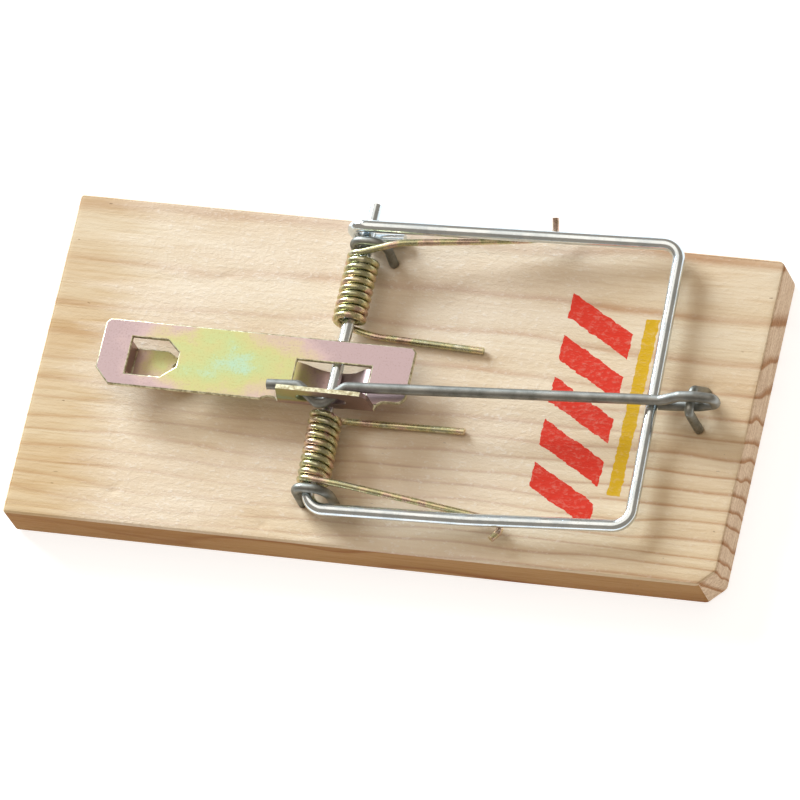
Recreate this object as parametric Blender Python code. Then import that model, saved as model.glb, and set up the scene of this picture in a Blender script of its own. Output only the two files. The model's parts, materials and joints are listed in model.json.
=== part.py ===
# A snap mouse trap, shown set: pine board, one-wire snap bar, lock bar, stamped trigger plate,
# two torsion springs and three wire staples. Sizes are in millimetres and are turned into metres
# by mm(). The origin is the middle of the board's underside: +X towards the rod staple, +Z up.

from math import atan, atan2, ceil, cos, pi, sin, tan

import bmesh
import bpy
from mathutils import Matrix, Vector

# board
BOARD_LENGTH = 98.0
BOARD_WIDTH = 46.0
BOARD_THICKNESS = 6.2
BOARD_EDGE = 0.4           # broken edge all round
FRONT_CORNER_CUT = 2.2     # chipped upright corner, front right
BACK_CORNER_CUT = 0.6      # chipped upright corner, back right
LEG_HOLE_GAP = 0.3         # round every staple leg, and below its end

# clearances
TOUCH = 0.12               # wires and sheet that touch on the real trap
CROSS = 0.26               # the lock bar over the crossbar
TURNING = 0.08             # turning pieces over the board

# snap bar, one wire
BAIL_WIRE = 1.65
AXLE_FROM_BAIT_END = 42.25
AXLE_TIP_BEYOND_EDGE = 1.0
CROSSBAR_TO_CROWN = 5.75   # crossbar's middle to the rod staple's crown
CROSSBAR_HEIGHT = 2.3      # crossbar centre above the board's top
FRONT_LEG_INSET = 3.7      # front leg from the board's edge, where it leaves the axle
BACK_LEG_INSET = 2.9       # back leg from the board's edge, where it crosses the axle
FRONT_LEG_LEAN = 2.4       # how far back each leg drifts over its length
BACK_LEG_LEAN = 2.75
BAIL_SKEW = 1.5            # the crossbar's front end reaches this much further out
BAIL_BEND = 2.3
AXLE_BEND = 2.6
HOOK_GAP = 0.5             # between the hook and the axle's free end
HOOK_TAIL = 4.2            # tail's end beyond the axle

# torsion springs
SPRING_WIRE = 0.9
COIL_PLAY = 0.525          # between the axle and the inside of the coil
BACK_PITCH = 0.99
FRONT_PITCH = 1.03
BACK_COIL_GAP = 2.7        # between the trigger plate and the back coil
FRONT_COIL_GAP = 0.2       # between the trigger's flange and the front coil
COIL_TO_CROWN = 0.15       # between the coil's end and the staple's crown
FRONT_COIL_SHIFT = 0.4     # the front coil's outer end is pushed over on the axle by this
INNER_ARM = 18.2           # length of the arm that lies on the board
CATCH_TO_CROSSBAR = 18.0   # where the outer arm passes under the leg
CATCH_TIP = 2.2            # how far the arm's tip stands out past the leg

# axle staples
STAPLE_WIRE = 1.25
STAPLE_FLOOR = 1.4         # wood left under a leg
STAPLE_SLACK = 1.6         # between the axle and the staple's right leg
STAPLE_LEFT_BEND = 1.45
STAPLE_RIGHT_BEND = 2.1    # wider, so the spring's outer arm passes over it
CROWN_TO_BACK_LEG = 1.9    # crown centre from the snap bar's legs
CROWN_TO_FRONT_LEG = 2.2
BACK_STAPLE_LEAN = -0.8    # legs enter the board this far from under the crown
FRONT_STAPLE_LEAN = -0.3

# lock bar and its staple
ROD_WIRE = 1.4
ROD_PIVOT_TO_END = 7.1     # crown's centre from the board's end
ROD_PIVOT_Y = 0.6
EYE_GAP = 0.12             # between the crown and the eye's upper strand
EYE_SLACK = 0.25           # between the crown and the eye's lower strand
EYE_REACH = 3.85           # from the crown's centre to the outside of the eye's tip
TAIL_GAP = 0.25            # between the eye's tail and the crossbar
ROD_CUT_END = 7.4          # cut end beyond the kink's middle
ROD_TO_FLANGE = 0.6        # between the rod and the flange's inner face
KINK_PAST_AXLE = 0.4
KINK_POKE = 0.4            # kink's centre line past the flange's outer face
KINK_BASE = 6.3
KINK_TIP = 0.9
CROWN_WIDTH = 3.1
CROWN_FOOT_FRONT = 0.6     # legs spread beyond the crown
CROWN_FOOT_BACK = 1.4
CROWN_FOOT_SHIFT = 0.5     # legs stand this far towards the board's end

# trigger plate
SHEET = 0.6
PLATE_BAIT_END = 32.5      # from the axle to the bait end
PLATE_SHORT_END = 10.7     # from the axle to the other end
PLATE_FRONT_Y = -5.4
PLATE_WIDTH = 9.3
BAIT_CORNER = 2.2
SMALL_CORNER = 0.6
WINDOW_FROM_END = 4.2
WINDOW_LENGTH = 6.8
WINDOW_WIDTH = 5.2
WINDOW_SETBACK = 1.75      # from the plate's front edge
WINDOW_POINT = 1.9         # length of its tapered end
WINDOW_TIP = 2.0           # width left at the point
TONGUE_DROP = 2.45
TONGUE_CLEARANCE = 0.5     # narrower than the window on each side
TONGUE_NOTCH = 0.8
SADDLE_SPAN = 10.3
SADDLE_BACK_Y = 0.3
SLIT = 0.35                # cut between saddle and plate, front and back
FLANGE_WIDTH = 13.4
FLANGE_SLANT = 1.1
FLANGE_HEIGHT = 4.25
SLOT_WIDTH = 7.0
SLOT_PLAY = 0.45           # slot height beyond the rod's wire
SLOT_ABOVE_PLATE = 1.75    # slot centre above the plate's top
RELIEF_WIDTH = 2.2         # shallow notch left of the flange
RELIEF_DEPTH = 0.45
SHORT_END_SETBACK = 1.25   # the front edge right of the flange is cut back

# what follows from them
BAIL_RADIUS = BAIL_WIRE / 2
ROD_RADIUS = ROD_WIRE / 2
STAPLE_RADIUS = STAPLE_WIRE / 2
SPRING_HALF = SPRING_WIRE / 2
SPRING_RADIUS = BAIL_RADIUS + COIL_PLAY + SPRING_HALF
UNDER_LEG = BAIL_RADIUS + TOUCH + SPRING_HALF
BOARD_TOP = BOARD_THICKNESS
AXLE_X = AXLE_FROM_BAIT_END - BOARD_LENGTH / 2
HOOK_RADIUS = BAIL_WIRE + HOOK_GAP
AXLE_Z = BOARD_TOP + HOOK_RADIUS + BAIL_RADIUS + TURNING
CROSSBAR_Z = BOARD_TOP + CROSSBAR_HEIGHT
ROD_PIVOT_X = BOARD_LENGTH / 2 - ROD_PIVOT_TO_END
CROWN_HEIGHT = EYE_REACH + TURNING
CROWN_Z = BOARD_TOP + CROWN_HEIGHT
ROD_TAIL = CROSSBAR_TO_CROWN - BAIL_RADIUS - TAIL_GAP
BAIL_REACH = ROD_PIVOT_X - CROSSBAR_TO_CROWN - AXLE_X
FRONT_LEG_Y = FRONT_LEG_INSET - BOARD_WIDTH / 2
BACK_LEG_Y = BOARD_WIDTH / 2 - BACK_LEG_INSET
FRONT_CROWN_Y = FRONT_LEG_Y + CROWN_TO_FRONT_LEG
BACK_CROWN_Y = BACK_LEG_Y - CROWN_TO_BACK_LEG
CATCH_ALONG = BAIL_REACH - CATCH_TO_CROSSBAR
PLATE_TOP = AXLE_Z + BAIL_RADIUS + TOUCH + SHEET
PLATE_BOTTOM = PLATE_TOP - SHEET
PLATE_BACK_Y = PLATE_FRONT_Y + PLATE_WIDTH
SADDLE_DEPTH = PLATE_TOP - (AXLE_Z - BAIL_RADIUS - TOUCH)
SLOT_Z = PLATE_TOP + SLOT_ABOVE_PLATE
KINK_ALONG = ROD_PIVOT_X - AXLE_X + KINK_PAST_AXLE
ROD_BEHIND_FLANGE_Y = PLATE_FRONT_Y + SHEET + ROD_TO_FLANGE + ROD_RADIUS
ROD_ANGLE = atan((ROD_PIVOT_Y - ROD_BEHIND_FLANGE_Y) / KINK_ALONG)
KINK_DEPTH = (ROD_BEHIND_FLANGE_Y - PLATE_FRONT_Y + KINK_POKE) / cos(ROD_ANGLE)


def mm(*values):
    return Vector(values) * 0.001


def material(name, colour, roughness, metallic):
    made = bpy.data.materials.new(name)
    made.use_nodes = True
    made.diffuse_color = (*colour, 1)
    shader = made.node_tree.nodes["Principled BSDF"]
    shader.inputs["Base Color"].default_value = (*colour, 1)
    shader.inputs["Roughness"].default_value = roughness
    shader.inputs["Metallic"].default_value = metallic
    return made


def place(name, data, finish, home=(0, 0, 0)):
    data.materials.append(finish)
    thing = bpy.data.objects.new(name, data)
    thing.location = mm(*home)
    bpy.context.scene.collection.objects.link(thing)
    return thing


def arc(centre, radius, start, turn, steps):
    """Points on an arc in the plane, from the angle start through turn."""
    angles = [start + turn * k / steps for k in range(steps + 1)]
    return [(centre[0] + radius * cos(a), centre[1] + radius * sin(a)) for a in angles]


def rounded(corners, radii, step=pi / 10):
    """The corner points with each inner corner turned on an arc of its own radius."""
    corners = [Vector(c) for c in corners]
    path = [corners[0]]
    for before, corner, after, radius in zip(corners, corners[1:], corners[2:], radii):
        back = (before - corner).normalized()
        on = (after - corner).normalized()
        half = back.angle(on) / 2
        centre = corner + (back + on).normalized() * radius / sin(half)
        spoke = corner + back * radius / tan(half) - centre
        axis = spoke.cross(corner + on * radius / tan(half) - centre)
        turn = pi - 2 * half
        steps = max(2, ceil(turn / step))
        path += [centre + Matrix.Rotation(turn * k / steps, 3, axis) @ spoke for k in range(steps + 1)]
    path.append(corners[-1])
    return path


def wire(name, path, diameter, finish, home=(0, 0, 0), sides=2):
    """A wire along world points; the object's own origin goes to home."""
    curve = bpy.data.curves.new(name, "CURVE")
    curve.dimensions = "3D"
    curve.bevel_depth = diameter * 0.0005
    curve.bevel_resolution = sides
    curve.use_fill_caps = True
    curve.render_resolution_u = 0
    spline = curve.splines.new("POLY")
    spline.points.add(len(path) - 1)
    for point, spot in zip(spline.points, path):
        point.co = (*(mm(*spot) - mm(*home)), 1)
    return place(name, curve, finish, home)


def solid(name, outline, low, high, finish, home=(0, 0, 0), flat="xy"):
    """A prism: an outline in the xy or xz plane, pushed from low to high along the third axis."""
    form = bmesh.new()
    at = {"xy": lambda a, b: (a, b, low), "xz": lambda a, b: (a, low, b)}[flat]
    face = form.faces.new([form.verts.new(mm(*at(a, b)) - mm(*home)) for a, b in outline])
    push = mm(0, 0, high - low) if flat == "xy" else mm(0, high - low, 0)
    grown = bmesh.ops.extrude_face_region(form, geom=[face])["geom"]
    bmesh.ops.translate(form, vec=push, verts=[v for v in grown if isinstance(v, bmesh.types.BMVert)])
    bmesh.ops.recalc_face_normals(form, faces=form.faces)
    mesh = bpy.data.meshes.new(name)
    form.to_mesh(mesh)
    form.free()
    return place(name, mesh, finish, home)


def combine(thing, other, operation):
    """Cuts other from thing, or joins it on; other stays only as a guide."""
    other.hide_render = True
    other.display_type = "WIRE"
    step = thing.modifiers.new(other.name, "BOOLEAN")
    step.operation = operation
    step.solver = "EXACT"
    step.object = other


def box_outline(left, right, near, far):
    return [(left, near), (right, near), (right, far), (left, far)]


# where the pieces meet

def leg_z(start_z, along):
    """Height of a snap bar leg's centre line at a distance from the axle."""
    return start_z + (CROSSBAR_Z - start_z) * along / BAIL_REACH


def by_back_leg(along, inward, below):
    """A point beside the back leg, at a distance from the axle."""
    y = BACK_LEG_Y + BACK_LEG_LEAN * along / BAIL_REACH
    return (AXLE_X + along, y - inward, leg_z(AXLE_Z + HOOK_RADIUS, along) - below)


def by_front_leg(along, inward, below):
    """A point beside the front leg, which drifts less near the axle."""
    y = FRONT_LEG_Y + FRONT_LEG_LEAN * 0.75 * along / BAIL_REACH
    return (AXLE_X + along, y + inward, leg_z(AXLE_Z, along) - below)


def axle_staple_feet(crown_y, lean):
    left = AXLE_X - BAIL_RADIUS - TOUCH - STAPLE_RADIUS
    right = AXLE_X + BAIL_RADIUS + STAPLE_SLACK + STAPLE_RADIUS
    return [(left, crown_y + lean), (right, crown_y + lean)]


def rod_staple_feet():
    front = ROD_PIVOT_Y - CROWN_WIDTH / 2 - CROWN_FOOT_FRONT
    back = ROD_PIVOT_Y + CROWN_WIDTH / 2 + CROWN_FOOT_BACK
    return [(ROD_PIVOT_X + CROWN_FOOT_SHIFT, front), (ROD_PIVOT_X + CROWN_FOOT_SHIFT, back)]


def board(pine):
    left, right = -BOARD_LENGTH / 2, BOARD_LENGTH / 2
    near, far = -BOARD_WIDTH / 2, BOARD_WIDTH / 2
    outline = [
        (left, near), (right - FRONT_CORNER_CUT, near), (right, near + FRONT_CORNER_CUT),
        (right, far - BACK_CORNER_CUT), (right - BACK_CORNER_CUT, far), (left, far),
    ]
    thing = solid("base_board", outline, 0, BOARD_THICKNESS, pine)
    edge = thing.modifiers.new("broken_edge", "BEVEL")
    edge.width = BOARD_EDGE * 0.001
    edge.segments = 2
    holes = axle_staple_feet(BACK_CROWN_Y, BACK_STAPLE_LEAN)
    holes += axle_staple_feet(FRONT_CROWN_Y, FRONT_STAPLE_LEAN)
    holes += rod_staple_feet()
    for number, foot in enumerate(holes):
        ring = arc(foot, STAPLE_RADIUS + LEG_HOLE_GAP, 0, 2 * pi, 12)[:-1]
        hole = solid(f"leg_hole_{number}", ring, STAPLE_FLOOR - LEG_HOLE_GAP, BOARD_TOP + 1, pine)
        combine(thing, hole, "DIFFERENCE")


def snap_bar(zinc):
    back_z = AXLE_Z + HOOK_RADIUS
    front_reach = BAIL_REACH + BAIL_SKEW / 2
    back_reach = BAIL_REACH - BAIL_SKEW / 2
    slope = atan2(back_z - CROSSBAR_Z, BAIL_REACH)
    halfway = front_reach / 2
    corners = [
        (AXLE_X, BOARD_WIDTH / 2 + AXLE_TIP_BEYOND_EDGE, AXLE_Z),
        (AXLE_X, FRONT_LEG_Y, AXLE_Z),
        (AXLE_X + halfway, FRONT_LEG_Y + FRONT_LEG_LEAN * 0.35, leg_z(AXLE_Z, halfway)),
        (AXLE_X + front_reach, FRONT_LEG_Y + FRONT_LEG_LEAN, CROSSBAR_Z),
        (AXLE_X + back_reach, BACK_LEG_Y + BACK_LEG_LEAN, CROSSBAR_Z),
        (AXLE_X + HOOK_RADIUS * sin(slope), BACK_LEG_Y, AXLE_Z + HOOK_RADIUS * cos(slope)),
    ]
    path = rounded(corners, [AXLE_BEND, 80, BAIL_BEND, BAIL_BEND])
    hook = arc((AXLE_X, AXLE_Z), HOOK_RADIUS, pi / 2 - slope, pi + slope, 12)
    path += [(x, BACK_LEG_Y, z) for x, z in hook[1:]]
    path.append((AXLE_X + HOOK_TAIL, BACK_LEG_Y + 0.3, AXLE_Z - HOOK_RADIUS))
    wire("striker_bail", path, BAIL_WIRE, zinc, (AXLE_X, 0, AXLE_Z), sides=3)


def torsion_spring(name, finish, start_y, pitch, room, shift, rest_y, arm):
    """Arm on the board, coil round the axle in the room it has, then the outer arm."""
    arm_z = BOARD_TOP + SPRING_HALF + TOUCH / 2
    each_turn = 16
    turns = int(room / abs(pitch) - 0.5) + 0.5
    count = int(turns * each_turn)
    path = [
        (AXLE_X + INNER_ARM, rest_y, arm_z),
        (AXLE_X + SPRING_RADIUS * 1.6, start_y + (rest_y - start_y) * 0.5, arm_z + 0.1),
    ]
    for k in range(count + 1):
        turned = 2 * pi * k / each_turn
        path.append((
            AXLE_X + shift * k / count - SPRING_RADIUS * sin(turned),
            start_y + pitch * k / each_turn,
            AXLE_Z - SPRING_RADIUS * cos(turned),
        ))
    end = path[-1]
    wire(name, path + rounded([end, *arm], [2.0, 8.0, 8.0, 1.0])[1:], SPRING_WIRE, finish)


def back_spring(chromate):
    start_y = PLATE_BACK_Y + BACK_COIL_GAP + SPRING_HALF
    room = BACK_CROWN_Y - STAPLE_RADIUS - COIL_TO_CROWN - SPRING_HALF - start_y
    arm = [
        (*by_back_leg(CATCH_ALONG * 0.2, 2.15, 0)[:2], AXLE_Z + SPRING_RADIUS + 0.05),
        by_back_leg(CATCH_ALONG * 0.56, UNDER_LEG * 0.6, UNDER_LEG * 0.86),
        by_back_leg(CATCH_ALONG * 0.9, -0.1, UNDER_LEG),
        by_back_leg(CATCH_ALONG, -1.0, UNDER_LEG),
        by_back_leg(CATCH_ALONG - 0.2, -0.8 - CATCH_TIP, UNDER_LEG - 1.0),
    ]
    torsion_spring("back_spring", chromate, start_y, BACK_PITCH, room, 0, start_y - 1.0, arm)


def front_spring(chromate):
    start_y = PLATE_FRONT_Y - FRONT_COIL_GAP - SPRING_HALF
    room = start_y - (FRONT_CROWN_Y + STAPLE_RADIUS + COIL_TO_CROWN + SPRING_HALF)
    arm = [
        (*by_front_leg(CATCH_ALONG * 0.2, 2.9, 0)[:2], AXLE_Z + SPRING_RADIUS - 0.1),
        by_front_leg(CATCH_ALONG * 0.6, 1.8, -0.35),
        by_front_leg(CATCH_ALONG * 0.95, 0.95, UNDER_LEG),
        by_front_leg(CATCH_ALONG + 1.9, -0.2, UNDER_LEG),
        by_front_leg(CATCH_ALONG + 0.6, -CATCH_TIP, UNDER_LEG - 0.6),
    ]
    shift = FRONT_COIL_SHIFT
    torsion_spring("front_spring", chromate, start_y, -FRONT_PITCH, room, shift, start_y + 0.6, arm)


def axle_staple(name, zinc, crown_y, lean):
    (left, foot_y), (right, _) = axle_staple_feet(crown_y, lean)
    crown_z = AXLE_Z + BAIL_RADIUS + TOUCH + STAPLE_RADIUS
    bend_z = BOARD_TOP + 0.1
    corners = [
        (left, foot_y, STAPLE_FLOOR), (left, foot_y, bend_z), (left, crown_y, crown_z),
        (right, crown_y, crown_z), (right, foot_y, bend_z), (right, foot_y, STAPLE_FLOOR),
    ]
    wire(name, rounded(corners, [1.0, STAPLE_LEFT_BEND, STAPLE_RIGHT_BEND, 1.0]), STAPLE_WIRE, zinc)


def rod_staple(zinc):
    (foot_x, front), (_, back) = rod_staple_feet()
    x = ROD_PIVOT_X
    bend_z = BOARD_TOP + 0.3
    corners = [
        (foot_x, front, STAPLE_FLOOR), (foot_x, front, bend_z),
        (x, ROD_PIVOT_Y - CROWN_WIDTH / 2, CROWN_Z), (x, ROD_PIVOT_Y + CROWN_WIDTH / 2, CROWN_Z),
        (foot_x, back, bend_z), (foot_x, back, STAPLE_FLOOR),
    ]
    wire("rod_staple", rounded(corners, [1.0, 0.8, 0.8, 1.0]), STAPLE_WIRE, zinc)


def lock_bar(zinc):
    crossbar_z = CROSSBAR_Z + BAIL_RADIUS + CROSS + ROD_RADIUS
    upper = CROWN_Z + STAPLE_RADIUS + ROD_RADIUS + EYE_GAP
    lower = CROWN_Z - STAPLE_RADIUS - ROD_RADIUS - EYE_SLACK
    tip = ROD_RADIUS - EYE_REACH
    rise = (SLOT_Z - crossbar_z) / (KINK_ALONG - CROSSBAR_TO_CROWN)

    def straight(along, side=0.0):
        return (along, side, crossbar_z + rise * (along - CROSSBAR_TO_CROWN))

    # along the bar from the crown's centre, sideways towards the front, height
    course = [
        (ROD_TAIL, 0, straight(ROD_TAIL)[2] - ROD_WIRE - TOUCH),
        (2.4, 0, lower), (-0.8, 0, lower), (tip, 0, CROWN_Z - 0.85), (tip, 0, CROWN_Z + 0.8),
        (-0.7, 0, upper), (1.2, 0, upper), straight(ROD_TAIL - 0.8),
        straight(KINK_ALONG - KINK_BASE / 2), straight(KINK_ALONG - KINK_TIP / 2, KINK_DEPTH),
        straight(KINK_ALONG + KINK_TIP / 2, KINK_DEPTH), straight(KINK_ALONG + KINK_BASE / 2),
        straight(KINK_ALONG + ROD_CUT_END),
    ]
    corners = [
        (
            ROD_PIVOT_X - along * cos(ROD_ANGLE) + side * sin(ROD_ANGLE),
            ROD_PIVOT_Y - along * sin(ROD_ANGLE) - side * cos(ROD_ANGLE),
            height,
        )
        for along, side, height in course
    ]
    radii = [2.0, 1.0, 0.75, 0.75, 0.9, 0.9, 2.0, 1.0, 0.8, 0.8, 1.0]
    wire("hold_down_rod", rounded(corners, radii), ROD_WIRE, zinc, (ROD_PIVOT_X, ROD_PIVOT_Y, CROWN_Z))


def bait_window(end, setback):
    """The window's outline, pulled in by setback: square end, tapered end, blunt tip."""
    left = end + setback
    right = end + WINDOW_LENGTH - setback
    near = PLATE_FRONT_Y + WINDOW_SETBACK + setback
    far = near + WINDOW_WIDTH - 2 * setback
    taper = right - WINDOW_POINT
    tip = WINDOW_TIP / 2
    middle = (near + far) / 2
    return [(left, near), (taper, near), (right, middle - tip), (right, middle + tip), (taper, far), (left, far)]


def saddle_profile():
    """The strip's outline in the xz plane: steep shoulders, flat bottom under the axle."""
    half = SADDLE_SPAN / 2
    steps = 20
    upper, lower = [], []
    for k in range(steps + 1):
        across = 2 * k / steps - 1
        dip = SADDLE_DEPTH * cos(pi / 2 * abs(across) ** 1.5) ** 2
        upper.append((AXLE_X + half * across, PLATE_TOP - dip))
        lower.append((AXLE_X + (half - SHEET * 0.3) * across, PLATE_BOTTOM - dip))
    root = 0.6
    left, right = AXLE_X - half - root, AXLE_X + half + root
    return (
        [(left, PLATE_TOP), (left, PLATE_BOTTOM)] + lower[1:-1]
        + [(right, PLATE_BOTTOM), (right, PLATE_TOP)] + upper[1:-1][::-1]
    )


def plate_outline():
    left, right = AXLE_X - PLATE_BAIT_END, AXLE_X + PLATE_SHORT_END
    near, far = PLATE_FRONT_Y, PLATE_BACK_Y
    flange_left, flange_right = AXLE_X - FLANGE_WIDTH / 2, AXLE_X + FLANGE_WIDTH / 2
    notch = arc((flange_left - RELIEF_WIDTH / 2, 0), RELIEF_WIDTH / 2, pi, -pi, 8)
    relief = [(x, near + depth * RELIEF_DEPTH * 2 / RELIEF_WIDTH) for x, depth in notch]
    edge = near + SHORT_END_SETBACK
    hollow = arc((flange_right + 1.3, near), SHORT_END_SETBACK, pi, -pi / 2, 4)
    corner = arc((right - 1.2, edge + 1.2), 1.2, -pi / 2, pi / 2, 4)
    return (
        [(left, near + BAIT_CORNER), (left + BAIT_CORNER, near)] + relief + hollow + corner
        + [(right, far - SMALL_CORNER), (right - SMALL_CORNER, far)]
        + [(left + SMALL_CORNER, far), (left, far - SMALL_CORNER)]
    )


def trigger(chromate):
    home = (AXLE_X, 0, AXLE_Z)
    near = PLATE_FRONT_Y
    plate = solid("trigger_plate", plate_outline(), PLATE_BOTTOM, PLATE_TOP, chromate, home)

    # windows cut right through
    window_left = AXLE_X - PLATE_BAIT_END + WINDOW_FROM_END
    window = bait_window(window_left, 0)
    cut = solid("cut_window", window, PLATE_BOTTOM - 1, PLATE_TOP + 1, chromate)
    combine(plate, cut, "DIFFERENCE")
    half = SADDLE_SPAN / 2
    opening = box_outline(AXLE_X - half, AXLE_X + half, near + SHEET, SADDLE_BACK_Y + SLIT)
    cut = solid("cut_saddle", opening, PLATE_BOTTOM - 1, PLATE_TOP + 1, chromate)
    combine(plate, cut, "DIFFERENCE")

    # a strip pressed down so that it passes under the axle
    strip_near = near + SHEET + SLIT
    strip = solid("add_saddle", saddle_profile(), strip_near, SADDLE_BACK_Y, chromate, flat="xz")
    combine(plate, strip, "UNION")

    # the tongue: bent down at the window's square end, then along under the window
    tongue_top = PLATE_TOP - TONGUE_DROP
    shape = bait_window(window_left, TONGUE_CLEARANCE)
    tongue_near, tongue_far = shape[0][1], shape[-1][1]
    notch = (shape[2][0] - TONGUE_NOTCH, (tongue_near + tongue_far) / 2)
    start = window_left - SHEET
    tongue = [(start, tongue_near), shape[1], shape[2], notch, shape[3], shape[4], (start, tongue_far)]
    combine(plate, solid("add_tongue", tongue, tongue_top - SHEET, tongue_top, chromate), "UNION")
    riser = box_outline(start, window_left, tongue_near, tongue_far)
    combine(plate, solid("add_riser", riser, tongue_top - SHEET / 2, PLATE_TOP, chromate), "UNION")

    # the upright flange with the slot that the kink catches in
    left, right = AXLE_X - FLANGE_WIDTH / 2, AXLE_X + FLANGE_WIDTH / 2
    top = PLATE_TOP + FLANGE_HEIGHT
    face = [(left, PLATE_BOTTOM), (right, PLATE_BOTTOM)]
    face += arc((right - 1.2, top - 1.2), 1.2, 0, pi / 2, 4) + [(left + FLANGE_SLANT, top)]
    combine(plate, solid("add_flange", face, near, near + SHEET, chromate, flat="xz"), "UNION")
    slot_half = (ROD_WIRE + SLOT_PLAY) / 2
    ends = SLOT_WIDTH / 2 - slot_half
    slot = arc((AXLE_X + ends, SLOT_Z), slot_half, -pi / 2, pi, 6)
    slot += arc((AXLE_X - ends, SLOT_Z), slot_half, pi / 2, pi, 6)
    cut = solid("cut_slot", slot, near - 1, near + SHEET + 1, chromate, flat="xz")
    combine(plate, cut, "DIFFERENCE")


def main():
    for thing in list(bpy.data.objects):
        bpy.data.objects.remove(thing, do_unlink=True)
    board(material("pine", (0.79, 0.62, 0.42), 0.5, 0.0))
    snap_bar(material("bright_zinc", (0.62, 0.64, 0.66), 0.28, 1.0))
    lock_bar(material("rod_zinc", (0.34, 0.35, 0.35), 0.42, 1.0))
    trigger(material("plate_chromate", (0.74, 0.66, 0.44), 0.3, 1.0))
    spring_chromate = material("spring_chromate", (0.5, 0.45, 0.3), 0.3, 1.0)
    back_spring(spring_chromate)
    front_spring(spring_chromate)
    staple_zinc = material("staple_zinc", (0.3, 0.31, 0.3), 0.5, 1.0)
    axle_staple("back_axle_staple", staple_zinc, BACK_CROWN_Y, BACK_STAPLE_LEAN)
    axle_staple("front_axle_staple", staple_zinc, FRONT_CROWN_Y, FRONT_STAPLE_LEAN)
    rod_staple(staple_zinc)


main()
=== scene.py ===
# A set snap mouse trap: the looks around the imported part. Sizes in the dictionaries are in
# millimetres, and mm() turns them into the metres that Blender works in.

import json
from math import atan2, ceil, cos, pi, radians, sin, tan

import bmesh
import bpy
from mathutils import Matrix, Vector, noise


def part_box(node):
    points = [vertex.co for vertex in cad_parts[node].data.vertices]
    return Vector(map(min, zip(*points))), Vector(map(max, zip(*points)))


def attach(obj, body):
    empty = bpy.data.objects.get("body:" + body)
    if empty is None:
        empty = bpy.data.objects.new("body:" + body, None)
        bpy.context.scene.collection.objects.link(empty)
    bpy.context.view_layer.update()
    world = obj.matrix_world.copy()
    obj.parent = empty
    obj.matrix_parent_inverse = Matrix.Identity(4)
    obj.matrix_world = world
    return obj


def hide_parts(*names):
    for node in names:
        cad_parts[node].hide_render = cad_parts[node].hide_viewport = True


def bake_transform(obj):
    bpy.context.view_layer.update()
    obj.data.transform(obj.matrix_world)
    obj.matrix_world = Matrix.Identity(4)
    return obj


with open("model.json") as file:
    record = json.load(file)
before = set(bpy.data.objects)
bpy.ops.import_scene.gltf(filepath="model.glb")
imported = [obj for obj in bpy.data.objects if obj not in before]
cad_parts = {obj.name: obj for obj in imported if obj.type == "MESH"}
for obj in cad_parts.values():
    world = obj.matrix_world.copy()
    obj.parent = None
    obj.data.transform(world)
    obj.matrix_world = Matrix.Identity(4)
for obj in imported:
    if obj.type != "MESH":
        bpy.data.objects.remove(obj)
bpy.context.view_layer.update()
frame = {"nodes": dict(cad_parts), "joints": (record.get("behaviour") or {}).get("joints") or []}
boardLow, boardHigh = (corner * 1000 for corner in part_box("base_board"))
plateLow, plateHigh = (corner * 1000 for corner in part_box("trigger_plate"))
boardTop = boardHigh.z
jointAt = {joint["name"]: Vector(joint["pos_m"]) * 1000 for joint in frame["joints"]}
axle = jointAt["hammer_swing"]
rodPivot = jointAt["rod_lift"]
print("frame loaded")


def mm(*values):
    return Vector(values) * 0.001


def linear(hexColour):
    # sRGB hex to the linear colour that shaders want
    channels = [int(hexColour[i:i + 2], 16) / 255 for i in (1, 3, 5)]
    return (*[c / 12.92 if c < 0.04045 else ((c + 0.055) / 1.055) ** 2.4 for c in channels], 1)


def addNode(tree, kind, links, give=0, ramp=None, **settings):
    # links holds a value or another node's output for each input; give picks the output to return
    node = tree.nodes.new("ShaderNode" + kind)
    for name, value in settings.items():
        setattr(node, name, value)
    if ramp:
        while len(node.color_ramp.elements) < len(ramp):
            node.color_ramp.elements.new(0.5)
        for element, (position, shade) in zip(node.color_ramp.elements, ramp):
            element.position = position
            element.color = linear(shade) if isinstance(shade, str) else (shade, shade, shade, 1)
    for name, value in links.items():
        if isinstance(value, bpy.types.NodeSocket):
            tree.links.new(value, node.inputs[name])
        else:
            node.inputs[name].default_value = value
    return node.outputs[give]


def startMaterial(name, settings):
    # what is the same all over the surface is set on the shader itself
    material = bpy.data.materials.new(name)
    material.use_nodes = True
    tree = material.node_tree
    for socket, value in settings.items():
        tree.nodes["Principled BSDF"].inputs[socket].default_value = value
    coords = addNode(tree, "TexCoord", {}, give="Object")
    where = addNode(tree, "VectorMath", {0: coords, "Scale": 1000.0}, operation="SCALE")
    return material, tree, where


def finishMaterial(tree, colour, roughness, height, strength, depth):
    # depth is the real height of the bumps
    shader = tree.nodes["Principled BSDF"]
    tree.links.new(colour, shader.inputs["Base Color"])
    tree.links.new(roughness, shader.inputs["Roughness"])
    bump = addNode(tree, "Bump", {"Height": height, "Strength": strength, "Distance": depth * 0.001})
    tree.links.new(bump, shader.inputs["Normal"])


def clouds(tree, where, size, stretch=(1, 1, 1), detail=3.0, roughness=0.55):
    # soft patches about size millimetres wide, longer along the axes whose stretch is above 1
    squeezed = addNode(tree, "VectorMath", {0: where, 1: stretch}, operation="DIVIDE")
    return addNode(tree, "TexNoise", {
        "Vector": squeezed, "Scale": 0.5 / size, "Detail": detail, "Roughness": roughness,
    })


def addPiece(name, mesh, material, body, nodes):
    piece = bpy.data.objects.new(name, mesh)
    bpy.context.scene.collection.objects.link(piece)
    mesh.materials.append(material)
    if body:
        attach(piece, body)
    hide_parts(*nodes)
    return piece


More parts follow.
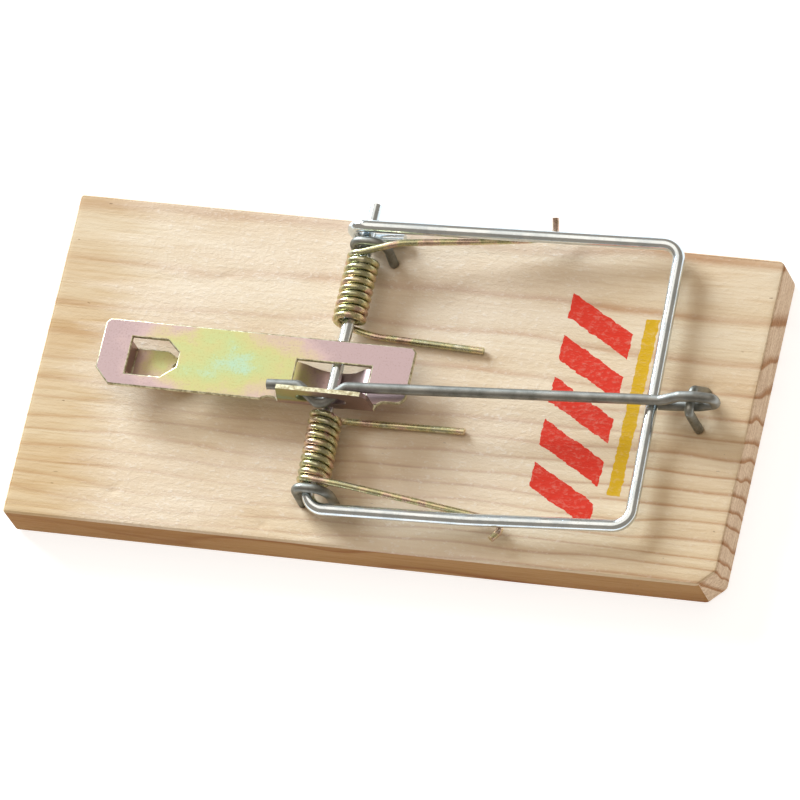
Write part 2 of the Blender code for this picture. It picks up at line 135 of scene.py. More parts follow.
pine = {
    "pith": (0.0, 34.0, 18.0),      # the tree's middle runs past the board's back edge, above it
    "firstRing": 18.0,              # radius of the ring counted as number one
    "ringPower": 2.3,               # rings get closer towards the bark
    "ringWander": 1.1,              # how far a ring strays along the board
    "early": "#e8d7bb",
    "middle": "#dcc6a3",
    "late": "#bb8a58",
    "paintedFrontShade": "#fdf7ea",              # painted shade: the wood is multiplied darker towards the front edge
    "streak": "#e2d0b4",            # dark fibres, multiplied in
    "blotch": "#e6cfae",            # broad darker streaks, multiplied in
    "canal": "#7d5a38",             # resin canals
    "torn": "#fff8f0",              # painted glints: a near-white mixed into the torn fibre flecks inside the painted sheen
    "polishAndPaintedSheen": "#fff4e6",             # painted sheen: a pale glare mixed into the colour where the wood is also polished
    "paintedSheenCover": 0.5,
    "shineFrom": -41.0,
    "shineTongues": 5.0,            # how far its edge strays along the grain
    "shineFadesFrom": 14.0,
    "shineFadesTo": 40.0,
    "shineLeft": 0.3,               # what is left of it at the lock bar's end
    "side": "#c6a985",              # painted shade on the long sides, on top of the sawn, unplaned face's own darker tone
    "endEarly": "#efd6b8",
    "endLate": "#bb8a5c",
    "pore": 0.16,
    "fibre": 0.22,                  # real fibres are ten times finer, drawn coarse enough to show
    "fleck": 0.4,                   # torn bits of fibre
    "bump": 0.6,
    "bumpDepth": 0.12,
}

prints = {
    "red": "#dd2c14",
    "yellow": "#d6aa02",
    "bars": 5,
    "barStep": 6.0,
    "barsMiddleY": -0.6,
    "barX": 26.2,
    "barLong": 4.6,                 # half its length
    "barWide": 1.75,                # half its width
    "barSlant": 0.55,
    "stripeX": 33.1,
    "stripeY": 0.5,
    "stripeWide": 0.9,
    "stripeLong": 12.5,
    "ragged": 0.3,
}


def ringPlace(tree, where):
    # rings are counted outwards from the pith; the fraction is the place within one ring
    wander = clouds(tree, where, 5.5, (4, 1, 1), detail=2.0)
    stray = addNode(tree, "MapRange", {
        "Value": wander, "From Min": 0.3, "From Max": 0.7,
        "To Min": -pine["ringWander"], "To Max": pine["ringWander"],
    })
    out = addNode(tree, "VectorMath", {0: where, 1: pine["pith"]}, operation="SUBTRACT")
    out = addNode(tree, "VectorMath", {0: out, 1: (0, 1, 1)}, operation="MULTIPLY")
    radius = addNode(tree, "VectorMath", {0: out}, give="Value", operation="LENGTH")
    radius = addNode(tree, "Math", {0: radius, 1: stray}, operation="ADD")
    rings = addNode(tree, "Math", {0: radius, 1: pine["firstRing"]}, operation="DIVIDE")
    rings = addNode(tree, "Math", {0: rings, 1: pine["ringPower"]}, operation="POWER")
    return addNode(tree, "Math", {0: rings}, operation="FRACT")


def printedMasks(tree, where):
    # five slanted red bars and a yellow stripe, with ragged edges where the ink met the grain
    ragged = clouds(tree, where, 0.4, (1.7, 1, 1))
    ragged = addNode(tree, "MapRange", {
        "Value": ragged, "To Min": -prints["ragged"], "To Max": prints["ragged"],
    })
    spot = addNode(tree, "VectorMath", {0: where, 1: ragged}, operation="ADD")
    x = addNode(tree, "SeparateXYZ", {0: spot}, give="X")
    y = addNode(tree, "SeparateXYZ", {0: spot}, give="Y")
    across = addNode(tree, "Math", {0: x, 1: prints["barX"]}, operation="SUBTRACT")
    step, count = prints["barStep"], prints["bars"]
    start = prints["barsMiddleY"] - step * count / 2
    # along counts bars, and its fraction is the place within one bar's step
    along = addNode(tree, "Math", {0: across, 1: prints["barSlant"], 2: y}, operation="MULTIPLY_ADD")
    along = addNode(tree, "MapRange", {
        "Value": along, "From Min": start, "From Max": start + step * count, "To Max": count,
    }, clamp=False)
    within = addNode(tree, "Math", {0: along}, operation="FRACT")
    masks = []
    for tests in (
        ((across, 0.0, prints["barLong"]), (along, count / 2, count / 2),
         (within, 0.5, prints["barWide"] / step)),
        ((x, prints["stripeX"], prints["stripeWide"]), (y, prints["stripeY"], prints["stripeLong"])),
    ):
        height = addNode(tree, "SeparateXYZ", {0: where}, give="Z")
        mask = addNode(tree, "Math", {0: height, 1: boardTop - 0.15}, operation="GREATER_THAN")
        for value, middle, half in tests:
            inside = addNode(tree, "Math", {0: value, 1: middle, 2: half}, operation="COMPARE")
            mask = addNode(tree, "Math", {0: mask, 1: inside}, operation="MULTIPLY")
        masks.append(mask)
    return masks


def polishAndPaintedSheenMask(tree, where):
    # the planer has closed and polished the wood from near the bait end to the middle; the same mask
    # also lays a painted sheen, a pale glare, into the colour
    x = addNode(tree, "SeparateXYZ", {0: where}, give="X")
    tongues = clouds(tree, where, 1.6, (20, 1, 1), detail=5.0, roughness=0.7)
    tongues = addNode(tree, "MapRange", {
        "Value": tongues, "From Min": 0.3, "From Max": 0.7,
        "To Min": -pine["shineTongues"], "To Max": pine["shineTongues"],
    })
    edge = addNode(tree, "Math", {0: x, 1: tongues}, operation="ADD")
    start = pine["shineFrom"]
    starts = addNode(tree, "MapRange", {
        "Value": edge, "From Min": start - 2.5, "From Max": start + 5.0,
    })
    fades = addNode(tree, "MapRange", {
        "Value": edge, "From Min": pine["shineFadesFrom"], "From Max": pine["shineFadesTo"],
        "To Min": 1.0, "To Max": pine["shineLeft"],
    })
    patches = clouds(tree, where, 6.0, (1.6, 1, 1), detail=4.0)
    patches = addNode(tree, "MapRange", {
        "Value": patches, "From Min": 0.35, "From Max": 0.6, "To Min": 0.45,
    })
    mask = addNode(tree, "Math", {0: starts, 1: fades}, operation="MULTIPLY")
    return addNode(tree, "Math", {0: mask, 1: patches}, operation="MULTIPLY")


def pineFace():
    # planed pine: pale early wood, tan late wood, and torn fibres that catch the light
    material, tree, where = startMaterial("planed pine", {
        "Metallic": 0.0, "IOR": 1.5, "Specular IOR Level": 0.25,
    })
    ring = ringPlace(tree, where)
    wood = addNode(tree, "ValToRGB", {"Fac": ring}, ramp=[
        (0.0, pine["early"]), (0.35, pine["early"]), (0.74, pine["middle"]),
        (0.9, pine["late"]), (1.0, pine["early"]),
    ])
    # the rings are faint at the bait end and come and go along the board
    x = addNode(tree, "SeparateXYZ", {0: where}, give="X")
    y = addNode(tree, "SeparateXYZ", {0: where}, give="Y")
    z = addNode(tree, "SeparateXYZ", {0: where}, give="Z")
    fade = clouds(tree, where, 4.5, (3.3, 1, 1), detail=2.0)
    fade = addNode(tree, "MapRange", {
        "Value": fade, "From Min": 0.36, "From Max": 0.62, "To Min": 0.55,
    })
    faint = addNode(tree, "MapRange", {"Value": x, "From Min": -44.0, "From Max": 4.0, "To Min": 0.45})
    fade = addNode(tree, "Math", {0: fade, 1: faint}, operation="MULTIPLY")
    wood = addNode(tree, "MixRGB", {"Fac": fade, "Color1": linear(pine["early"]), "Color2": wood})
    fibre = clouds(tree, where, pine["fibre"], (20, 1, 1), roughness=0.6)
    streak = addNode(tree, "ValToRGB", {"Fac": fibre}, ramp=[(0.3, pine["streak"]), (0.55, "#ffffff")])
    wood = addNode(tree, "MixRGB", {
        "Fac": 0.5, "Color1": wood, "Color2": streak}, blend_type="MULTIPLY")
    # broad darker streaks run with the grain
    blotch = clouds(tree, where, 3.5, (7, 1, 1), detail=4.0)
    blotch = addNode(tree, "ValToRGB", {"Fac": blotch}, ramp=[
        (0.32, pine["blotch"]), (0.62, "#ffffff"),
    ])
    wood = addNode(tree, "MixRGB", {
        "Fac": 0.65, "Color1": wood, "Color2": blotch}, blend_type="MULTIPLY")
    # resin canals: short dark dashes
    canals = clouds(tree, where, 0.28, (3.0, 1, 1), detail=1.0)
    canals = addNode(tree, "ValToRGB", {"Fac": canals}, ramp=[(0.775, 0.0), (0.81, 0.7)])
    wood = addNode(tree, "MixRGB", {"Fac": canals, "Color1": wood, "Color2": linear(pine["canal"])})

    # painted shade: the wood gets darker towards the front edge
    towardsFrontShade = addNode(tree, "MapRange", {
        "Value": y, "From Min": boardLow.y, "From Max": boardHigh.y, "To Min": 1.0, "To Max": 0.0,
    })
    wood = addNode(tree, "MixRGB", {
        "Fac": towardsFrontShade, "Color1": wood, "Color2": linear(pine["paintedFrontShade"])}, blend_type="MULTIPLY")
    # painted shade: below the top, the sawn sides are multiplied darker than the planed top
    onTop = addNode(tree, "MapRange", {
        "Value": z, "From Min": boardTop - 0.5, "From Max": boardTop - 0.25,
    })
    sawn = addNode(tree, "MixRGB", {
        "Fac": 1.0, "Color1": wood, "Color2": linear(pine["side"])}, blend_type="MULTIPLY")
    wood = addNode(tree, "MixRGB", {"Fac": onTop, "Color1": sawn, "Color2": wood})
    # painted sheen: where the wood is polished, a pale glare is mixed into the wood's colour
    polishAndPaintedSheen = addNode(tree, "Math", {0: polishAndPaintedSheenMask(tree, where), 1: onTop}, operation="MULTIPLY")
    paintedSheenAmount = addNode(tree, "Math", {0: polishAndPaintedSheen, 1: pine["paintedSheenCover"]}, operation="MULTIPLY")
    wood = addNode(tree, "MixRGB", {"Fac": paintedSheenAmount, "Color1": wood, "Color2": linear(pine["polishAndPaintedSheen"])})

    fleck = clouds(tree, where, pine["fleck"] / 2, (1.8, 1, 1), detail=2.0, roughness=0.7)
    # painted glints: near-white flecks mixed into the colour inside the painted sheen; the torn fibres
    # also get real bumps further down
    torn = addNode(tree, "ValToRGB", {"Fac": fleck}, ramp=[(0.57, 0.0), (0.68, 0.4)])
    torn = addNode(tree, "Math", {0: torn, 1: polishAndPaintedSheen}, operation="MULTIPLY")
    wood = addNode(tree, "MixRGB", {"Fac": torn, "Color1": wood, "Color2": linear(pine["torn"])})
    wear = addNode(tree, "ValToRGB", {"Fac": fleck}, ramp=[(0.5, 0.98), (0.75, 0.8)])
    for mask, ink in zip(printedMasks(tree, where), (prints["red"], prints["yellow"])):
        cover = addNode(tree, "Math", {0: mask, 1: wear}, operation="MULTIPLY")
        wood = addNode(tree, "MixRGB", {"Fac": cover, "Color1": wood, "Color2": linear(ink)})

    gloss = addNode(tree, "MapRange", {
        "Value": fleck, "From Min": 0.35, "From Max": 0.7, "To Min": 0.86, "To Max": 0.7,
    })
    polish = addNode(tree, "Math", {0: polishAndPaintedSheen, 1: -0.1, 2: gloss}, operation="MULTIPLY_ADD")
    torn = addNode(tree, "MapRange", {"Value": polishAndPaintedSheen, "To Min": 0.6, "To Max": 1.4})
    torn = addNode(tree, "Math", {0: torn, 1: fleck}, operation="MULTIPLY")
    height = addNode(tree, "Math", {0: fibre, 1: 0.4, 2: torn}, operation="MULTIPLY_ADD")
    height = addNode(tree, "Math", {0: ring, 1: 0.2, 2: height}, operation="MULTIPLY_ADD")
    finishMaterial(tree, wood, polish, height, pine["bump"], pine["bumpDepth"])
    return material


def pineEnd():
    # sawn end grain: the same rings, darker, because open pores swallow light
    material, tree, where = startMaterial("sawn pine end grain", {"Metallic": 0.0, "IOR": 1.5})
    wood = addNode(tree, "ValToRGB", {"Fac": ringPlace(tree, where)}, ramp=[
        (0.0, pine["endEarly"]), (0.66, pine["endEarly"]),
        (0.87, pine["endLate"]), (0.94, pine["endLate"]), (1.0, pine["endEarly"]),
    ])
    pores = clouds(tree, where, pine["pore"], detail=2.0)
    sawn = clouds(tree, where, 0.3, (1, 6, 0.5))
    for pattern, dark in ((pores, "#d2c2b0"), (sawn, "#cdb8a4")):
        shade = addNode(tree, "ValToRGB", {"Fac": pattern}, ramp=[(0.35, dark), (0.6, "#ffffff")])
        wood = addNode(tree, "MixRGB", {
            "Fac": 0.5, "Color1": wood, "Color2": shade}, blend_type="MULTIPLY")
    rough = addNode(tree, "MapRange", {"Value": pores, "To Min": 0.72, "To Max": 0.9})
    height = addNode(tree, "Math", {0: sawn, 1: 1.5, 2: pores}, operation="MULTIPLY_ADD")
    finishMaterial(tree, wood, rough, height, pine["bump"], pine["bumpDepth"])
    return material


# a film of clear zinc on steel wire: cloudy grey patches, and drawing marks along the wire
zincFinishes = {
    "snap bar": {"bright": "#e9f4fb", "dark": "#d3e0e9", "smooth": 0.14, "coarse": 0.24, "stains": 0.1},
    "lock bar": {"bright": "#a3a5a2", "dark": "#828481", "smooth": 0.44, "coarse": 0.58, "stains": 0.3},
    "staple": {"bright": "#a5a8a4", "dark": "#777974", "smooth": 0.38, "coarse": 0.52, "stains": 0.4},
}


def zincWire(name):
    z = zincFinishes[name]
    material, tree, where = startMaterial("zinc plated " + name + " wire", {"Metallic": 1.0})
    cloud = clouds(tree, where, 1.4, detail=4.0)
    grain = clouds(tree, where, 0.1, detail=2.0)
    mixed = addNode(tree, "MixRGB", {"Fac": 0.12, "Color1": cloud, "Color2": grain})
    colour = addNode(tree, "ValToRGB", {"Fac": mixed}, ramp=[(0.38, z["dark"]), (0.6, z["bright"])])
    spots = clouds(tree, where, 0.35)
    spots = addNode(tree, "ValToRGB", {"Fac": spots}, ramp=[(0.62, 0.0), (0.75, z["stains"])])
    colour = addNode(tree, "MixRGB", {"Fac": spots, "Color1": colour, "Color2": linear("#5c5953")})
    rough = addNode(tree, "MapRange", {
        "Value": mixed, "From Min": 0.35, "From Max": 0.65,
        "To Min": z["coarse"], "To Max": z["smooth"],
    })
    # U of the wire's own map runs along it, so marks squeezed in V run with the wire
    strands = addNode(tree, "UVMap", {})
    marks = clouds(tree, strands, 0.17, (1, 0.05, 1))
    height = addNode(tree, "MixRGB", {"Fac": 0.4, "Color1": marks, "Color2": grain})
    finishMaterial(tree, colour, rough, height, 0.35, 0.03)
    return material


sheetFilm = [   # colours of the chromate film from thin to thick
    (0.0, "#aa9494"), (0.25, "#b79f9c"), (0.45, "#bba98e"), (0.62, "#b6b17c"),
    (0.82, "#aeb581"), (1.0, "#a4bca2"),
]

wireFilm = [
    (0.0, "#bba890"), (0.28, "#dabfb0"), (0.45, "#e0d4ac"), (0.6, "#c8c69a"),
    (0.8, "#b6b898"), (1.0, "#dedcc4"),
]

chromate = {
    "thickX": -14.6,         # the film is thickest here, from the axle
    "thickY": -0.6,
    "spreadX": 13.5,         # and thins towards the edges over these distances
    "spreadY": 6.6,
    "patch": 2.3,            # patches of colour, and the speckle of the dip
    "speckle": 0.12,
    "gathered": 0.6,         # how much thicker it is on the standing flange
}


def chromateSheet():
    # yellow chromate over zinc: a film that shifts from mauve to straw to green as it gets thicker
    c = chromate
    material, tree, where = startMaterial("yellow chromated sheet steel", {"Metallic": 1.0})
    thickest = (axle.x + c["thickX"], c["thickY"], 0)
    squeeze = (1 / c["spreadX"], 1 / c["spreadY"], 0)
    away = addNode(tree, "VectorMath", {0: where, 1: thickest}, operation="SUBTRACT")
    away = addNode(tree, "VectorMath", {0: away, 1: squeeze}, operation="MULTIPLY")
    spread = addNode(tree, "VectorMath", {0: away, 1: away}, give="Value", operation="DOT_PRODUCT")
    speckle = clouds(tree, where, c["speckle"])
    patchy = clouds(tree, where, c["patch"], (1.25, 1, 1), detail=4.0)
    patchy = addNode(tree, "MixRGB", {"Fac": 0.2, "Color1": patchy, "Color2": speckle})
    # it gathered on the flange that stands up from the sheet
    z = addNode(tree, "SeparateXYZ", {0: where}, give="Z")
    gathered = addNode(tree, "MapRange", {
        "Value": z, "From Min": axle.z + 1.8, "From Max": axle.z + 2.6, "To Max": c["gathered"],
    })
    film = addNode(tree, "Math", {0: spread, 1: -0.6, 2: gathered}, operation="MULTIPLY_ADD")
    film = addNode(tree, "Math", {0: patchy, 1: 1.6, 2: film}, operation="MULTIPLY_ADD", use_clamp=True)
    colour = addNode(tree, "ValToRGB", {"Fac": film}, ramp=sheetFilm)
    dirt = addNode(tree, "ValToRGB", {"Fac": speckle}, ramp=[(0.3, "#b4aa9a"), (0.44, "#ffffff")])
    colour = addNode(tree, "MixRGB", {
        "Fac": 0.3, "Color1": colour, "Color2": dirt}, blend_type="MULTIPLY")
    rough = addNode(tree, "MapRange", {"Value": speckle, "To Min": 0.32, "To Max": 0.5})
    rolled = clouds(tree, where, 0.12, (7, 1, 1), detail=2.0)
    height = addNode(tree, "Math", {0: rolled, 1: 0.5, 2: speckle}, operation="MULTIPLY_ADD")
    finishMaterial(tree, colour, rough, height, 0.3, 0.03)
    return material


def chromateEdge():
    # the sheared edges of the sheet, torn and greenish straw
    material, tree, where = startMaterial("sheared chromated edge", {"Metallic": 1.0})
    torn = clouds(tree, where, 0.28)
    colour = addNode(tree, "ValToRGB", {"Fac": torn}, ramp=[
        (0.35, "#a8a080"), (0.58, "#dcdbbf"), (0.75, "#f4f0dc"),
    ])
    rough = addNode(tree, "MapRange", {"Value": torn, "To Min": 0.28, "To Max": 0.5})
    finishMaterial(tree, colour, rough, torn, 0.4, 0.05)
    return material


def chromateWire():
    # yellow chromated spring wire: the film changes colour every few millimetres
    material, tree, where = startMaterial("yellow chromated spring wire", {"Metallic": 1.0})
    film = clouds(tree, where, 1.2, detail=4.0)
    film = addNode(tree, "MapRange", {"Value": film, "From Min": 0.3, "From Max": 0.7})
    colour = addNode(tree, "ValToRGB", {"Fac": film}, ramp=wireFilm)
    grain = clouds(tree, where, 0.1, detail=2.0)
    rough = addNode(tree, "MapRange", {"Value": grain, "To Min": 0.2, "To Max": 0.36})
    finishMaterial(tree, colour, rough, grain, 0.2, 0.03)
    return material


pineFaceMaterial = pineFace()
pineEndMaterial = pineEnd()
brightZinc, dullZinc, stapleZinc = (zincWire(name) for name in zincFinishes)
sheetChromate = chromateSheet()
edgeChromate = chromateEdge()
springChromate = chromateWire()
print("materials made")


def rounded(corners, radii, step=radians(7)):
    # the corner points, with each inner corner turned on an arc of its own radius
    corners = [Vector(c) for c in corners]
    path = [corners[0]]
    for before, corner, after, radius in zip(corners, corners[1:], corners[2:], radii):
        back = (before - corner).normalized()
        on = (after - corner).normalized()
        half = back.angle(on) / 2
        centre = corner + (back + on).normalized() * radius / sin(half)
        spoke = corner + back * radius / tan(half) - centre
        axis = spoke.cross(corner + on * radius / tan(half) - centre)
        turn = pi - 2 * half
        steps = max(3, ceil(turn / step))
        path += [centre + Matrix.Rotation(turn * k / steps, 3, axis) @ spoke for k in range(steps + 1)]
    path.append(corners[-1])
    return path


def wireMesh(name, path, diameter, sides=8, endRound=0.12, nick=None):
    # a wire with slightly broken cut ends; nick = (place, width, depth) pinches it
    curve = bpy.data.curves.new(name, "CURVE")
    curve.dimensions = "3D"
    curve.bevel_depth = diameter * 0.0005     # half of it, in metres
    curve.bevel_resolution = sides
    curve.use_fill_caps = True
    spline = curve.splines.new("POLY")
    longest = 1.5            # a straight run gets points this far apart, for the nick and the blend
    points = [path[0]]
    for spot in path[1:]:
        start, pieces = points[-1], max(1, ceil((spot - points[-1]).length / longest))
        points += [start.lerp(spot, k / pieces) for k in range(1, pieces + 1)]
    spline.points.add(len(points) - 1)
    for point, spot in zip(spline.points, points):
        point.co = (*mm(*spot), 1)
        if nick:
            point.radius = 1 - nick[2] * max(0.0, 1 - (spot - nick[0]).length / nick[1])
    line = bpy.data.objects.new(name + "Line", curve)
    bpy.context.scene.collection.objects.link(line)
    bpy.context.view_layer.update()
    mesh = bpy.data.meshes.new_from_object(line.evaluated_get(bpy.context.evaluated_depsgraph_get()))
    bpy.data.objects.remove(line)
    mesh.name = name
    form = bmesh.new()
    form.from_mesh(mesh)
    bmesh.ops.remove_doubles(form, verts=form.verts, dist=1e-7)
    caps = [face for face in form.faces if len(face.verts) > 4]
    rims = list({edge for face in caps for edge in face.edges})
    bmesh.ops.bevel(
        form, geom=rims, offset=endRound * 0.001, affect="EDGES", segments=3, profile=0.5, material=-1
    )
    bmesh.ops.recalc_face_normals(form, faces=form.faces)
    form.to_mesh(mesh)
    form.free()
    mesh.shade_smooth()
    mesh.set_sharp_from_angle(angle=radians(50))
    return mesh


snapBar = {
    "wire": 1.65,
    "tipBeyondEdge": 1.0,
    "frontInset": 3.7,       # front leg from the board's edge where it leaves the axle
    "backInset": 2.9,
    "reach": 42.9,           # axle to crossbar
    "skew": 1.5,             # the crossbar's front end reaches this much further
    "frontLean": 2.4,
    "backLean": 2.75,
    "crossbarHeight": 2.3,
    "hookGap": 0.5,
    "hookTail": 4.2,
    "corner": 2.3,
    "frontBend": 2.4,
}


def snapBarRoute():
    s = snapBar
    frontY = boardLow.y + s["frontInset"]
    backY = boardHigh.y - s["backInset"]
    hookRadius = s["wire"] + s["hookGap"]
    low = boardTop + s["crossbarHeight"]
    high = axle.z + hookRadius
    frontReach = s["reach"] + s["skew"] / 2
    backReach = s["reach"] - s["skew"] / 2
    slope = atan2(high - low, s["reach"])
    half = frontReach / 2
    halfZ = axle.z + (low - axle.z) * half / s["reach"]
    corners = [
        (axle.x, boardHigh.y + s["tipBeyondEdge"], axle.z),
        (axle.x, frontY, axle.z),
        (axle.x + half, frontY + s["frontLean"] * 0.35, halfZ),
        (axle.x + frontReach, frontY + s["frontLean"], low),
        (axle.x + backReach, backY + s["backLean"], low),
        (axle.x + hookRadius * sin(slope), backY, axle.z + hookRadius * cos(slope)),
    ]
    path = rounded(corners, [s["frontBend"], 80, s["corner"], s["corner"]])
    steps = 30
    for k in range(1, steps + 1):
        angle = pi / 2 - slope + (pi + slope) * k / steps
        path.append(Vector((axle.x + hookRadius * cos(angle), backY, axle.z + hookRadius * sin(angle))))
    path.append(Vector((axle.x + s["hookTail"], backY + 0.3, axle.z - hookRadius)))
    return path


snapBarMesh = wireMesh("snap_bar", snapBarRoute(), snapBar["wire"], sides=10, endRound=0.16)
addPiece("snap_bar", snapBarMesh, brightZinc, "hammer", ["striker_bail"])
print("snap bar made")


springs = {
    "wire": 0.9,
    "coilRadius": 1.8,
    "turns": 9.5,
    "innerArm": 18.2,
    "perTurn": 44,           # points on one turn
    "catch": 24.9,           # where the outer arm hooks the leg, from the axle
    "underLeg": 1.395,       # leg's centre to the arm's centre where they touch
}


def beside(leg, along, inward, below):
    # a point beside a leg of the snap bar, as far from the axle as along
    s = snapBar
    low = boardTop + s["crossbarHeight"]
    if leg == "back":
        y = boardHigh.y - s["backInset"] + s["backLean"] * along / s["reach"] - inward
        start = axle.z + s["wire"] + s["hookGap"]
    else:
        y = boardLow.y + s["frontInset"] + s["frontLean"] * 0.75 * along / s["reach"] + inward
        start = axle.z
    return (axle.x + along, y, start + (low - start) * along / s["reach"] - below)


def spring(name, node, startY, pitch, shift, restY, arm):
    radius, perTurn = springs["coilRadius"], springs["perTurn"]
    armZ = boardTop + springs["wire"] / 2 + 0.06
    count = int(springs["turns"] * perTurn)
    coil = []
    for k in range(count + 1):
        turned = 2 * pi * k / perTurn
        coil.append(Vector((
            axle.x + shift * k / count - radius * sin(turned),
            startY + pitch * k / perTurn,
            axle.z - radius * cos(turned),
        )))
    lead = rounded([
        (axle.x + springs["innerArm"], restY, armZ),
        (axle.x + radius * 1.6, (startY + restY) / 2, armZ + 0.1),
        coil[0],
    ], [9.0])
    tail = rounded([coil[-1], *arm], [10.0, 16.0, 8.0, 1.0])
    mesh = wireMesh(name, lead[:-1] + coil + tail[1:], springs["wire"], sides=5, endRound=0.1)
    piece = addPiece(name, mesh, springChromate, None, [node])
    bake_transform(piece)


catch, under, coilTop = springs["catch"], springs["underLeg"], axle.z + springs["coilRadius"]
backStart = plateHigh.y + 2.7 + springs["wire"] / 2
spring("back_torsion_spring", "back_spring", backStart, 0.99, 0.0, backStart - 1.0, [
    (*beside("back", catch * 0.2, 2.15, 0)[:2], coilTop + 0.05),
    beside("back", catch * 0.56, under * 0.6, under * 0.86),
    beside("back", catch * 0.9, -0.1, under),
    beside("back", catch, -1.0, under),
    beside("back", catch - 0.2, -3.0, under - 1.0),
])
frontStart = plateLow.y - 0.2 - springs["wire"] / 2
spring("front_torsion_spring", "front_spring", frontStart, -1.03, 0.4, frontStart + 0.6, [
    (*beside("front", catch * 0.2, 2.9, 0)[:2], coilTop - 0.1),
    beside("front", catch * 0.6, 1.8, -0.35),
    beside("front", catch * 0.95, 0.95, under),
    beside("front", catch + 1.9, -0.2, under),
    beside("front", catch + 0.6, -2.2, under - 0.6),
])
print("springs wound")


staple = {"wire": 1.25, "floor": 1.4, "slack": 1.6, "gap": 0.12}


def axleStaple(name, node, crownY, lean):
    halfWire = staple["wire"] / 2
    left = axle.x - snapBar["wire"] / 2 - staple["gap"] - halfWire
    right = axle.x + snapBar["wire"] / 2 + staple["slack"] + halfWire
    crownZ = axle.z + snapBar["wire"] / 2 + staple["gap"] + halfWire
    footY, bendZ = crownY + lean, boardTop + 0.1
    corners = [
        (left, footY, staple["floor"]), (left, footY, bendZ), (left, crownY, crownZ),
        (right, crownY, crownZ), (right, footY, bendZ), (right, footY, staple["floor"]),
    ]
    mesh = wireMesh(name, rounded(corners, [1.0, 1.45, 2.1, 1.0]), staple["wire"])
    addPiece(name, mesh, stapleZinc, "base", [node])
    return [(left, footY), (right, footY)]


backCrown = boardHigh.y - snapBar["backInset"] - 1.9
frontCrown = boardLow.y + snapBar["frontInset"] + 2.2
legs = axleStaple("back_wire_staple", "back_axle_staple", backCrown, -0.8)
legs += axleStaple("front_wire_staple", "front_axle_staple", frontCrown, -0.3)

lockStaple = {"crown": 3.1, "footFront": 0.6, "footBack": 1.4, "footShift": 0.5}


def lockBarStaple():
    r = lockStaple
    footX = rodPivot.x + r["footShift"]
    front = rodPivot.y - r["crown"] / 2 - r["footFront"]
    back = rodPivot.y + r["crown"] / 2 + r["footBack"]
    bendZ = boardTop + 0.3
    corners = [
        (footX, front, staple["floor"]), (footX, front, bendZ),
        (rodPivot.x, rodPivot.y - r["crown"] / 2, rodPivot.z),
        (rodPivot.x, rodPivot.y + r["crown"] / 2, rodPivot.z),
        (footX, back, bendZ), (footX, back, staple["floor"]),
    ]
    mesh = wireMesh("lock_bar_staple", rounded(corners, [1.0, 0.8, 0.8, 1.0]), staple["wire"])
    addPiece("lock_bar_staple", mesh, stapleZinc, "base", ["rod_staple"])
    return [(footX, front), (footX, back)]


legs += lockBarStaple()
print("staples made")


lockBar = {
    "wire": 1.4,
    "overCrossbar": 0.26,
    "eyeGap": 0.12,
    "eyeSlack": 0.25,
    "eyeReach": 3.85,
    "tailGap": 0.25,
    "toCrossbar": 5.75,
    "cutEnd": 7.4,
    "pastAxle": 0.4,
    "sheet": 0.6,            # thickness of the bait plate's sheet
    "toFlange": 0.6,
    "poke": 0.4,
    "kinkBase": 6.3,
    "kinkTip": 0.9,
    "slotAboveAxle": 3.295,  # the kink lies in the middle of the trigger's slot
    "nickFromCrown": 4.4,    # pinched by the bending tool here
}


def lockBarRoute():
    b = lockBar
    half = b["wire"] / 2
    kinkAlong = rodPivot.x - axle.x + b["pastAxle"]
    behindFlange = plateLow.y + b["sheet"] + b["toFlange"] + half
    turn = atan2(rodPivot.y - behindFlange, kinkAlong)
    kinkDeep = (behindFlange - plateLow.y + b["poke"]) / cos(turn)
    crossZ = boardTop + snapBar["crossbarHeight"] + snapBar["wire"] / 2 + b["overCrossbar"] + half
    upper = rodPivot.z + staple["wire"] / 2 + half + b["eyeGap"]
    lower = rodPivot.z - staple["wire"] / 2 - half - b["eyeSlack"]
    tip = half - b["eyeReach"]
    tail = b["toCrossbar"] - snapBar["wire"] / 2 - b["tailGap"]
    rise = (axle.z + b["slotAboveAxle"] - crossZ) / (kinkAlong - b["toCrossbar"])

    def straight(along, side=0.0):
        return (along, side, crossZ + rise * (along - b["toCrossbar"]))

    # along the bar from its pivot, sideways, and up: the eye's tail, the eye, the bar, its kink
    course = [
        (tail, 0, straight(tail)[2] - b["wire"] - 0.12),
        (2.4, 0, lower), (-0.8, 0, lower), (tip, 0, rodPivot.z - 0.85), (tip, 0, rodPivot.z + 0.8),
        (-0.7, 0, upper), (1.2, 0, upper), straight(tail - 0.8),
        straight(kinkAlong - b["kinkBase"] / 2), straight(kinkAlong - b["kinkTip"] / 2, kinkDeep),
        straight(kinkAlong + b["kinkTip"] / 2, kinkDeep), straight(kinkAlong + b["kinkBase"] / 2),
        straight(kinkAlong + b["cutEnd"]),
    ]
    corners = [
        (
            rodPivot.x - along * cos(turn) + side * sin(turn),
            rodPivot.y - along * sin(turn) - side * cos(turn),
            height,
        )
        for along, side, height in course
    ]
    nick = Vector((rodPivot.x - b["nickFromCrown"], rodPivot.y, straight(b["nickFromCrown"])[2]))
    return rounded(corners, [2.0, 1.0, 0.75, 0.75, 0.9, 0.9, 2.0, 1.0, 0.8, 0.8, 1.0]), nick


lockBarPath, nickAt = lockBarRoute()
lockBarMesh = wireMesh("lock_bar", lockBarPath, lockBar["wire"], nick=(nickAt, 0.8, 0.08))
addPiece("lock_bar", lockBarMesh, dullZinc, "rod", ["hold_down_rod"])
print("lock bar made")


trigger = {"edge": 0.19, "segments": 3, "flatAngle": 0.3, "sharpAngle": 35}


def onOutline(edge):
    # an edge between the flat sheet and a sheared side, away from the bends
    steep = sorted(abs(face.normal.z) for face in edge.link_faces)
    around = [abs(face.normal.z) for vert in edge.verts for face in vert.link_faces]
    return steep[0] < 0.05 and steep[-1] > 0.999 and not any(0.05 < z < 0.999 for z in around)


